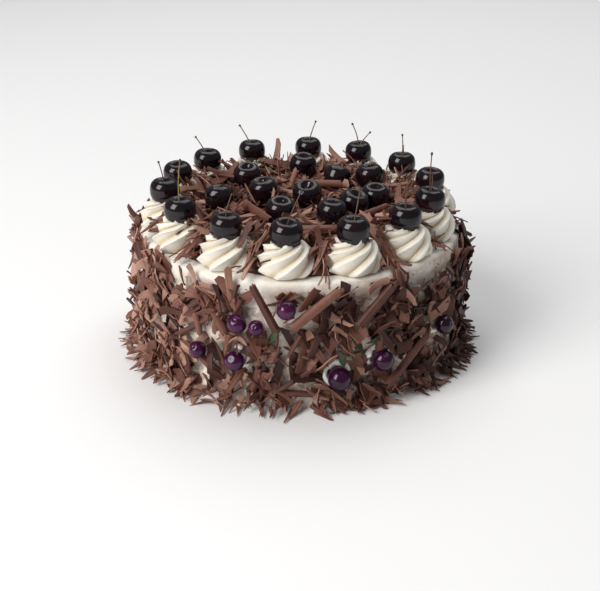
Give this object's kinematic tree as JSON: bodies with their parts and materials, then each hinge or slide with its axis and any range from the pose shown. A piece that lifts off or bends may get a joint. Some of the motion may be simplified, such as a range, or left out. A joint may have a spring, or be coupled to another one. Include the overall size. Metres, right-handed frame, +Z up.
{
  "type": "black forest cake",
  "caption": "Round cream-coated cake with chocolate shavings on its side and top, and a ring of piped cream swirls, each with a dark cherry",
  "frame": {"origin": "centre of the cake's base, on the surface it stands on", "axes": "+Z up along the cake's axis, -Y towards the front, +X to the right seen from the front"},
  "size_m": [0.2589, 0.2591, 0.1451],
  "materials": {
    "cream": "soft matte whipped cream",
    "chocolate": "satin, milk to dark chocolate",
    "cherry": "very glossy, near-black skin",
    "berry": "glossy dark purple skin"
  },
  "bodies": {
    "root": {"cake_body": "cream", "side_shavings": "chocolate", "top_shavings": "chocolate", "foot_fringe": "chocolate", "side_berry_01": "berry", "side_berry_02": "berry", "side_berry_03": "berry", "side_berry_04": "berry", "side_berry_05": "berry", "side_berry_06": "berry", "side_berry_07": "berry", "side_berry_08": "berry", "side_berry_09": "berry", "side_berry_10": "berry", "side_berry_11": "berry", "side_berry_12": "berry", "side_berry_13": "berry", "chocolate_roll_1": "chocolate", "chocolate_roll_2": "chocolate", "chocolate_roll_3": "chocolate", "chocolate_roll_4": "chocolate", "loose_cherry_01": "cherry", "loose_cherry_02": "cherry", "loose_cherry_03": "cherry", "loose_cherry_04": "cherry", "loose_cherry_05": "cherry", "loose_cherry_06": "cherry", "loose_cherry_07": "cherry", "loose_cherry_08": "cherry", "loose_cherry_09": "cherry", "loose_cherry_10": "cherry", "loose_cherry_11": "cherry", "swirl_01": "cream", "swirl_02": "cream", "swirl_03": "cream", "swirl_04": "cream", "swirl_05": "cream", "swirl_06": "cream", "swirl_07": "cream", "swirl_08": "cream", "swirl_09": "cream", "swirl_10": "cream", "swirl_11": "cream", "swirl_12": "cream", "swirl_13": "cream", "swirl_14": "cream", "rim_cherry_01": "cherry", "rim_cherry_02": "cherry", "rim_cherry_03": "cherry", "rim_cherry_04": "cherry", "rim_cherry_05": "cherry", "rim_cherry_06": "cherry", "rim_cherry_07": "cherry", "rim_cherry_08": "cherry", "rim_cherry_09": "cherry", "rim_cherry_10": "cherry", "rim_cherry_11": "cherry", "rim_cherry_12": "cherry", "rim_cherry_13": "cherry", "rim_cherry_14": "cherry"}
  },
  "joints": []
}
